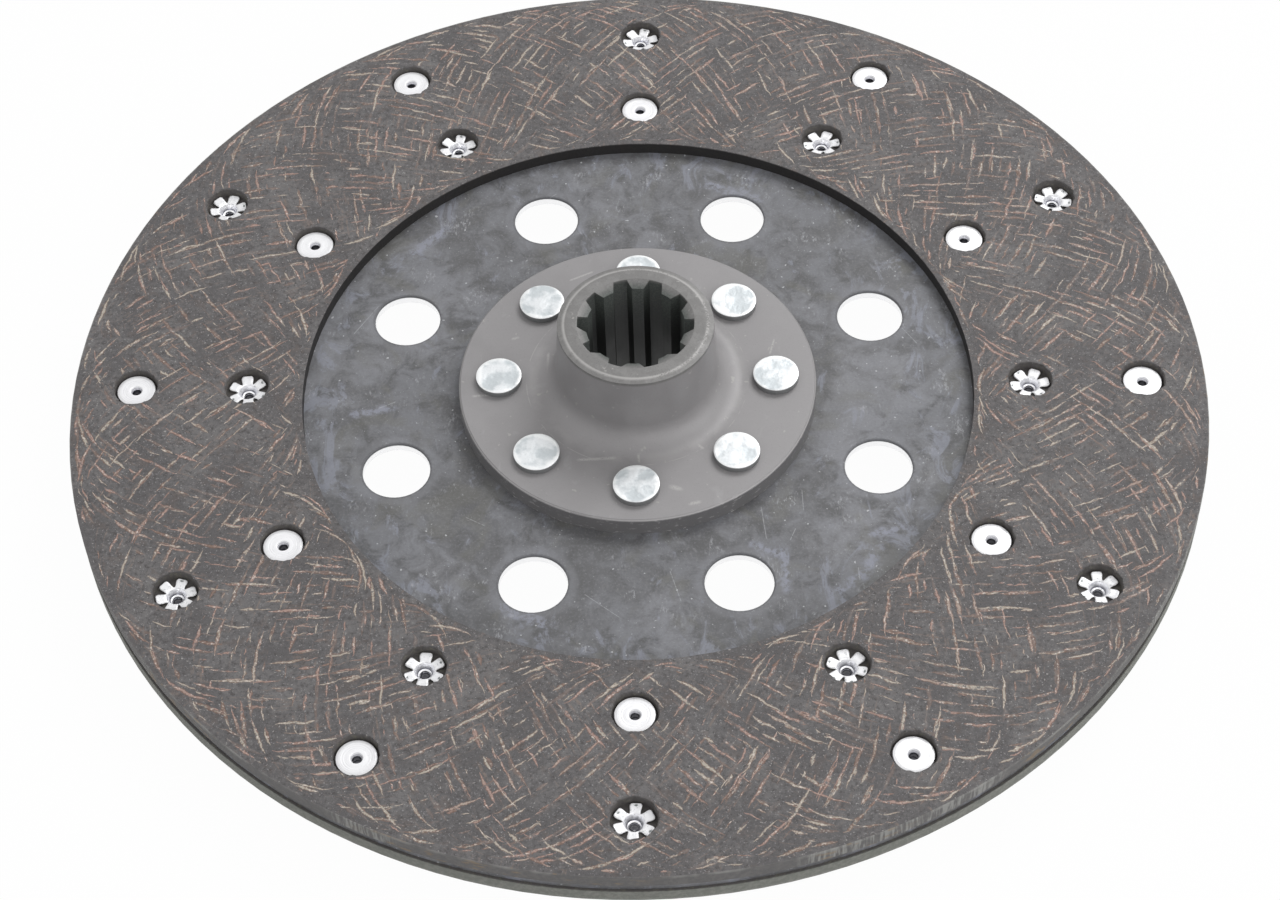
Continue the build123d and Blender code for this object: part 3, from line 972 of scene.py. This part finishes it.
def lathe(work, profile, steps, layer):
    """Turns corners of a radius and a height in millimetres about Z, with their radii kept in a layer.

    A radius of 0 closes the end.
    """
    rings = []
    for radius, height in profile:
        angles = [math.tau * index / steps for index in range(steps if radius else 1)]
        ring = [Vector((radius * math.cos(a), radius * math.sin(a), height)) * MM for a in angles]
        rings.append([work.verts.new(corner) for corner in ring])
        for vert in rings[-1]:
            vert[layer] = radius * MM
    for lower, upper in zip(rings, rings[1:]):
        for index in range(steps):
            following = (index + 1) % steps
            if len(lower) == 1:
                work.faces.new((lower[0], upper[following], upper[index]))
            elif len(upper) == 1:
                work.faces.new((lower[index], lower[following], upper[0]))
            else:
                work.faces.new((lower[index], lower[following], upper[following], upper[index]))
    return rings


def petal_sheet(work, rivets, draw, rings, dimple_shade, hole_shade):
    """The rolled end of a tubular rivet, from its bore out to six petals, as one sheet over +Z."""
    petals = 6
    tip = rivets.petal_spread / 2
    half = rivets.petal_width / 2
    mouth = 2.4 * MM

    # The throat's corners: radius and height over the seat in millimetres, and how much painted shade it
    # gets
    throat = [
        (0.98, -3.3, 1.0),
        (0.98, -1.95, 1.0),
        (1.0, -1.86, 0.5),
        (1.06, -1.78, 0.0),
        (1.60, -1.46, 0.0),
        (1.68, -1.38, 0.15),
        (1.72, -1.26, 0.60),
        (1.78, -1.10, 0.05),
        (2.22, 0.12, 0.0),
        (2.40, 0.44, 0.0),
    ]
    across = (-1.0, -0.55, 0.0, 0.55, 1.0)

    # The petals' rows: the share of the way from mouth to tip, the height and the width
    shares = (0.14, 0.34, 0.56, 0.78, 0.93, 1.0)
    heights = (0.62, 0.64, 0.68, 0.75, 0.82, 0.85)
    swell = (0.86, 0.92, 1.0, 1.04, 0.93, 0.66)
    for petal in range(petals):
        middle_angle = math.tau * (petal + 0.5) / petals
        lift = draw.uniform(-0.10, 0.10)
        reach = tip - draw.uniform(0.0, 0.25) * MM
        width = half * draw.uniform(0.92, 1.04)
        lean = draw.uniform(-0.12, 0.12)
        roll = draw.uniform(-0.12, 0.12)
        torn = [draw.uniform(0.92, 1.08), draw.uniform(0.92, 1.08)]
        marked = draw.random() < 0.45
        steps = [(radius * MM, height, depth, 0.0) for radius, height, depth in throat]
        for share, height in zip(shares, heights):
            steps.append((mouth + (reach - mouth) * share, height + lift * share, 0.0, share))
        swells = [1.0] * len(throat) + list(swell)
        grid = []
        for (radius, height, depth, share), swelling in zip(steps, swells):
            row = []
            for column in across:
                side = min(radius * math.sin(math.pi / petals), width * swelling) * column
                if share > 0.9:
                    side *= torn[column > 0]
                side += lean * share * MM
                forward = math.sqrt(max(radius * radius - side * side, 0.0))
                if share > 0:
                    forward += (radius - forward) * 0.6 * share
                near = math.exp(-(((share - 0.8) / 0.18) ** 2) - (column / 0.5) ** 2) if share > 0 else 0.0
                dip = near if marked else 0.0
                rise = height + roll * share * column * 0.6 - 0.10 * dip + 0.06 * share * column * column
                corner = Vector((forward, side, rivets.lining_seat + rise * MM))
                vert = work.verts.new(Matrix.Rotation(middle_angle, 3, "Z") @ corner)
                vert[rings] = 0.0
                vert[hole_shade] = depth
                vert[dimple_shade] = dip
                row.append(vert)
            grid.append(row)
        for lower, upper in zip(grid, grid[1:]):
            for left in range(len(across) - 1):
                work.faces.new((lower[left], upper[left], upper[left + 1], lower[left + 1]))


def rolled_end(index, rivets):
    """A lining rivet's petalled end, with a wall, on -Z."""
    name = f"rolled_end_{index}"
    mesh = bpy.data.meshes.new(name)
    work = bmesh.new()
    layers = [work.verts.layers.float.new(layer) for layer in ("ring_radius", "dimple_shade", "hole_shade")]
    petal_sheet(work, rivets, random.Random(40 + index), *layers)
    bmesh.ops.remove_doubles(work, verts=work.verts, dist=0.004 * MM)
    work.to_mesh(mesh)
    work.free()
    sheet = new_piece(name + "_sheet", mesh)
    solidify = sheet.modifiers.new("wall", "SOLIDIFY")
    solidify.thickness = 0.5 * MM
    solidify.offset = -1
    solidify.use_even_offset = False
    rounding = sheet.modifiers.new("rounding", "SUBSURF")
    rounding.levels = rounding.render_levels = 1
    sheet = baked(sheet, name)
    sheet.data.transform(Matrix.Rotation(math.pi, 4, "X"))
    return sheet


def head_profile(rivets):
    """A lining rivet's corners from its shank over its head into its bore.

    Each has a radius and a height in millimetres, and how much painted shade it gets.
    """
    bore, head = rivets.head_bore / 2 / MM, rivets.lining_head / 2 / MM
    seat = rivets.lining_seat / MM
    top = seat + rivets.head_height / MM
    shank = 2.5
    countersink = [
        (bore - 0.10, -0.9, 1.0),
        (bore - 0.10, top - 1.40, 1.0),
        (bore - 0.10, top - 1.02, 0.9),
        (bore - 0.06, top - 0.95, 0.25),
        (bore + 0.10, top - 0.56, 0.08),
        (bore + 0.12, top - 0.50, 0.55),
        (bore + 0.14, top - 0.44, 0.08),
        (bore + 0.30, top - 0.08, 0.0),
        (bore + 0.36, top - 0.01, 0.0),
        (bore + 0.48, top + 0.02, 0.0),
        (bore + 0.76, top, 0.0),
    ]
    groove = ((0.0, 0.0), (0.12, 0.02), (0.24, 0.0))
    grooves = [(start + out, top - dip, 0.0) for start in (2.6, 3.2) for out, dip in groove]
    rim = [
        (head - 0.10, top, 0.0),
        (head - 0.03, top - 0.03, 0.0),
        (head, top - 0.10, 0.0),
        (head, seat, 0.0),
        (shank, seat, 0.0),
        (shank, -seat, 0.0),
    ]
    return (countersink + grooves + rim)[::-1]


def keep_master(work, name, collection):
    """Makes a rivet's finished bmesh a master, shaded smooth, in a collection."""
    mesh = bpy.data.meshes.new(name)
    work.to_mesh(mesh)
    work.free()
    smooth_by_angle(mesh, 50)
    collection.objects.link(bpy.data.objects.new(name, mesh))


def lining_rivet_master(index, rivets, collection):
    """One lining rivet with its head on +Z and its petals on -Z."""
    sheet = rolled_end(index, rivets)
    work = bmesh.new()
    work.from_mesh(sheet.data)
    bpy.data.objects.remove(sheet)
    ring_radius, hole_shade = (work.verts.layers.float[layer] for layer in ("ring_radius", "hole_shade"))
    profile = head_profile(rivets)
    made = lathe(work, [corner[:2] for corner in profile], 40, ring_radius)
    for ring, (_, _, depth) in zip(made, profile):
        for vert in ring:
            vert[hole_shade] = depth
    keep_master(work, f"lining_rivet_master_{index}", collection)


def hub_rivet_master(rivets, collection):
    """One hub rivet: a flat round head in front, barely eased, and a formed end behind."""
    head, tall, tail = rivets.hub_head / 2 / MM, rivets.hub_head_height / MM, rivets.hub_tail_height / MM
    shank = 3.2
    front = [
        (shank, 0.0),
        (head - 0.04, 0.0),
        (head, 0.08),
        (head, tall - 0.30),
        (head - 0.02, tall - 0.20),
        (head - 0.08, tall - 0.11),
        (head - 0.18, tall - 0.055),
        (head - 0.5, tall - 0.03),
        (head - 1.1, tall - 0.025),
        (head - 1.8, tall - 0.02),
        (head - 3.4, tall - 0.005),
        (0.0, tall),
    ]
    behind = [
        (0.0, tail),
        (2.0, tail - 0.02),
        (3.6, tail - 0.2),
        (4.6, tail - 0.7),
        (5.3, tail - 1.5),
        (5.5, tail - 2.1),
        (5.45, tail - 2.58),
        (shank, 0.0),
    ]
    flange, back = flange_height(rivets) / MM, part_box("carrier_plate")[0].z / MM
    profile = [(radius, back - rise) for radius, rise in behind]
    profile += [(radius, flange + rise) for radius, rise in front]
    work = bmesh.new()
    lathe(work, profile, 48, work.verts.layers.float.new("ring_radius"))
    bmesh.ops.recalc_face_normals(work, faces=work.faces)
    keep_master(work, "hub_rivet_master", collection)


def set_circle(name, nodes, slot, tree, masters, seed, up_first=0, alternate=0):
    """Sets a circle of rivets in the place of their CAD nodes."""
    values = {
        "Count": len(nodes),
        "Radius": circle_radius(nodes[0]),
        "Masters": masters,
        "Up First": up_first,
        "Alternate": alternate,
        "Seed": seed,
    }
    settle(grown(name, tree, values), slot, *nodes)


def discard(masters):
    """Deletes the masters that the rivets were made from."""
    for master in list(masters.objects):
        bpy.data.objects.remove(master)
    bpy.data.collections.remove(masters)


# Operators, one for each piece or group of like pieces


class CLUTCH_OT_finish_hub(bpy.types.Operator):
    """Dress the hub with eased edges and its phosphate finish"""

    bl_idname = "clutch.finish_hub"
    bl_label = "Finish hub"

    def execute(self, context):
        material = hub_material(context.scene.clutch_metals, context.scene.clutch_rivets)
        hub = eased_copy("hub", "hub_turned", 0.16 * MM, material, crisp=24)
        settle(hub, "hub_steel", "hub")
        return {"FINISHED"}


class CLUTCH_OT_finish_plate(bpy.types.Operator):
    """Dress the carrier plate with eased edges and its cloudy phosphate finish"""

    bl_idname = "clutch.finish_plate"
    bl_label = "Finish carrier plate"

    def execute(self, context):
        material = plate_material(context.scene.clutch_metals)

        def rolled(*ends):
            """The relief holes' edges are rolled over by the punch."""
            on_hole = all(abs(end.xy.length - RELIEF_CIRCLE) < 1.5 * RELIEF_RADIUS for end in ends)
            return 0.3 * MM if on_hole else None

        plate = eased_copy("carrier_plate", "plate_pressed", 0.12 * MM, material, wider=rolled)
        settle(plate, "plate_steel", "carrier_plate")
        return {"FINISHED"}


class CLUTCH_OT_finish_linings(bpy.types.Operator):
    """Dress both friction linings with eased edges and the woven lining finish"""

    bl_idname = "clutch.finish_linings"
    bl_label = "Finish linings"

    def execute(self, context):
        settings = context.scene.clutch_lining
        material = lining_material(settings, context.scene.clutch_yarns)
        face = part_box(LINING)[1].z
        middles = [sum(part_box(node), Vector()) / 2 for node in (*OUTER_RIVETS, *INNER_RIVETS)]

        def middle_of(point):
            """The middle of the counterbore whose top edge a point lies on, or None."""
            if abs(abs(point.z) - face) > 0.01 * MM:
                return None
            near = (middle for middle in middles if (point - middle).xy.length < COUNTERBORE + 0.8 * MM)
            return next(near, None)

        def broken(*ends):
            """The counterbores' top edges are broken wider than the rest."""
            return settings.broken_edge if all(middle_of(end) for end in ends) else None

        def crumble(work):
            """Moves the counterbores' top edges outwards, more in some places than in others."""
            for vert in work.verts:
                middle = middle_of(vert.co)
                if middle:
                    out = (vert.co - middle).xy.normalized()
                    stray = (noise.noise(vert.co * 900) + 0.5) * settings.ragged
                    vert.co.x += out.x * stray
                    vert.co.y += out.y * stray

        for side in ("flywheel", "pressure"):
            node = f"lining_{side}_side"
            name = f"lining_{side}_moulded"
            lining = eased_copy(node, name, settings.edge_ease, material, wider=broken, reshape=crumble)
            settle(lining, "lining", node)
        return {"FINISHED"}


class CLUTCH_OT_lay_yarns(bpy.types.Operator):
    """Lay the wires and fibres that show on both faces of the linings"""

    bl_idname = "clutch.lay_yarns"
    bl_label = "Lay yarns"

    def execute(self, context):
        yarns = context.scene.clutch_yarns
        tree = yarn_tree(yarn_material(yarns, context.scene.clutch_lining))
        bore, rim, face = lining_sizes()
        shared = {
            "Lanes": float(yarns.lanes),
            "Waves": yarns.waves,
            "Crown": yarns.crown,
            "Bore": bore,
            "Rim": rim,
            "Face": face,
            "Inner Circle": circle_radius(INNER_RIVETS[0]),
            "Outer Circle": circle_radius(OUTER_RIVETS[0]),
            "Hole": COUNTERBORE + 0.3 * MM,
        }

        # Each kind of stroke: its name, number, width, shortest and longest length, and seed
        kinds = (
            ("wires", yarns.wire_count, yarns.wire_width, 3.0 * MM, 12.0 * MM, 0),
            ("fibres", yarns.fibre_count, yarns.fibre_width, 1.4 * MM, 5.5 * MM, 50),
        )
        for side, turn, side_seed in (("flywheel", 0.0, 100), ("pressure", math.pi, 300)):
            for kind, count, width, shortest, longest, kind_seed in kinds:
                values = {
                    **shared,
                    "Count": count,
                    "Seed": side_seed + kind_seed,
                    "Width": width,
                    "Shortest": shortest,
                    "Longest": longest,
                    "Turn": turn,
                }
                strokes = grown(f"yarn_{kind}_{side}", tree, values)
                settle(strokes, "lining")
        return {"FINISHED"}


class CLUTCH_OT_set_lining_rivets(bpy.types.Operator):
    """Set both circles of tubular lining rivets, from alternate sides"""

    bl_idname = "clutch.set_lining_rivets"
    bl_label = "Set lining rivets"

    def execute(self, context):
        rivets = context.scene.clutch_rivets
        masters = bpy.data.collections.new("lining_rivet_masters")
        for index in range(rivets.variants):
            lining_rivet_master(index, rivets, masters)
        tree = ring_tree("lining rivet circle", tin_material(context.scene.clutch_metals, rivets))

        # The two circles start with rivets that are opposite ways up
        for name, nodes, up_first, seed in (
            ("lining_rivets_outer", OUTER_RIVETS, 0, 11),
            ("lining_rivets_inner", INNER_RIVETS, 1, 23),
        ):
            set_circle(name, nodes, "lining_rivet_steel", tree, masters, seed, up_first, alternate=1)
        discard(masters)
        return {"FINISHED"}


class CLUTCH_OT_set_hub_rivets(bpy.types.Operator):
    """Set the circle of solid rivets through flange and plate"""

    bl_idname = "clutch.set_hub_rivets"
    bl_label = "Set hub rivets"

    def execute(self, context):
        rivets = context.scene.clutch_rivets
        masters = bpy.data.collections.new("hub_rivet_masters")
        hub_rivet_master(rivets, masters)
        tree = ring_tree("hub rivet circle", zinc_material(context.scene.clutch_metals, rivets))
        set_circle("hub_rivets", HUB_RIVETS, "hub_rivet_steel", tree, masters, seed=5)
        discard(masters)
        return {"FINISHED"}


# Floor, lights and camera


def area_light(name, place, size, power):
    """A square soft light at a place, aimed at the disc's middle: its size in metres, its power in watts."""
    data = bpy.data.lights.new(name, "AREA")
    data.energy = power
    data.size = size
    lamp = bpy.data.objects.new(name, data)
    lamp.location = place
    lamp.rotation_mode = "QUATERNION"
    lamp.rotation_quaternion = (-Vector(place)).to_track_quat("-Z", "Y")
    bpy.context.scene.collection.objects.link(lamp)


def studio_world():
    """A soft white surround, plain white where the camera sees it."""
    world = bpy.data.worlds.new("studio")
    world.use_nodes = True
    g = Graph(world.node_tree)
    white = (1, 1, 1, 1)
    dim, plain = (
        g.node("ShaderNodeBackground", {}, {"Color": white, "Strength": strength}, "Background")
        for strength in (0.5, 1.0)
    )
    mixed = g.node("ShaderNodeMixShader", {}, {0: seen_rays(g), 1: dim, 2: plain})
    g.node("ShaderNodeOutputWorld", {}, {"Surface": mixed})
    return world


def studio_camera():
    """A camera in front of the disc, which looks down on it and is shifted and turned a little."""
    elevation, azimuth, roll = math.radians(51.326), math.radians(1.862), math.radians(-1.967)
    distance, aside, above = 694.176 * MM, 0.048 * MM, -13.77 * MM
    level = Vector((math.cos(azimuth), math.sin(azimuth), 0.0))
    ahead = Vector((math.sin(azimuth), -math.cos(azimuth), 0.0))
    back = ahead * math.cos(elevation) + Vector((0.0, 0.0, math.sin(elevation)))
    upward = back.cross(level)
    right = level * math.cos(roll) + upward * math.sin(roll)
    up = upward * math.cos(roll) - level * math.sin(roll)
    data = bpy.data.cameras.new("camera")
    data.sensor_width = 36.0
    data.lens = 78.436
    data.clip_start, data.clip_end = 0.01, 20.0
    camera = bpy.data.objects.new("camera", data)
    turned = Matrix((right, up, back)).transposed().to_4x4()
    turned.translation = back * distance + level * aside + upward * above
    camera.matrix_world = turned
    bpy.context.scene.collection.objects.link(camera)
    return camera


class CLUTCH_OT_build_stage(bpy.types.Operator):
    """Build the floor, the studio lights and the camera"""

    bl_idname = "clutch.build_stage"
    bl_label = "Build stage"

    def execute(self, context):
        scene = context.scene
        height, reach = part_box("hub")[0].z, 3.0
        mesh = bpy.data.meshes.new("floor")
        corners = [(-reach, -reach), (reach, -reach), (reach, reach), (-reach, reach)]
        mesh.from_pydata([(x, y, height) for x, y in corners], [], [(0, 1, 2, 3)])
        floor = new_piece("floor", mesh, floor_material())

        area_light("key", (0.6, 0.9, 1.15), size=0.75, power=11.0)
        area_light("fill_left", (-1.2, -0.4, 0.9), size=1.2, power=2.2)
        area_light("fill_front", (0.5, -1.25, 0.7), size=1.0, power=3.8)
        area_light("fill_right", (1.3, -0.5, 0.8), size=1.0, power=6.4)
        scene.world = studio_world()
        scene.camera = studio_camera()
        scene.view_settings.view_transform = "Standard"
        return {"FINISHED"}


class CLUTCH_PT_panel(bpy.types.Panel):
    """Lists the steps that dress the clutch disc"""

    bl_idname = "CLUTCH_PT_panel"
    bl_label = "Clutch disc"
    bl_space_type = "VIEW_3D"
    bl_region_type = "UI"
    bl_category = "Clutch disc"

    def draw(self, context):
        for operator in OPERATORS:
            self.layout.operator(operator.bl_idname)
        for name, settings in SETTINGS.items():
            box = self.layout.box()
            for key in settings.__annotations__:
                box.prop(getattr(context.scene, name), key)


SETTINGS = {
    "clutch_lining": LiningSettings,
    "clutch_yarns": YarnSettings,
    "clutch_metals": MetalSettings,
    "clutch_rivets": RivetSettings,
}
OPERATORS = (
    CLUTCH_OT_finish_hub,
    CLUTCH_OT_finish_plate,
    CLUTCH_OT_finish_linings,
    CLUTCH_OT_lay_yarns,
    CLUTCH_OT_set_lining_rivets,
    CLUTCH_OT_set_hub_rivets,
    CLUTCH_OT_build_stage,
)


def register():
    """Registers the classes and gives the scene its settings."""
    for made in (*SETTINGS.values(), *OPERATORS, CLUTCH_PT_panel):
        bpy.utils.register_class(made)
    for name, settings in SETTINGS.items():
        setattr(bpy.types.Scene, name, PointerProperty(type=settings))


def unregister():
    """Takes the settings and the classes away again."""
    for name in SETTINGS:
        delattr(bpy.types.Scene, name)
    for made in reversed((*SETTINGS.values(), *OPERATORS, CLUTCH_PT_panel)):
        bpy.utils.unregister_class(made)


def main():
    """Builds the whole scene."""
    register()
    bpy.ops.clutch.build_stage()
    bpy.ops.clutch.finish_hub()
    bpy.ops.clutch.finish_plate()
    bpy.ops.clutch.finish_linings()
    bpy.ops.clutch.lay_yarns()
    bpy.ops.clutch.set_lining_rivets()
    bpy.ops.clutch.set_hub_rivets()


if __name__ == "__main__":
    main()
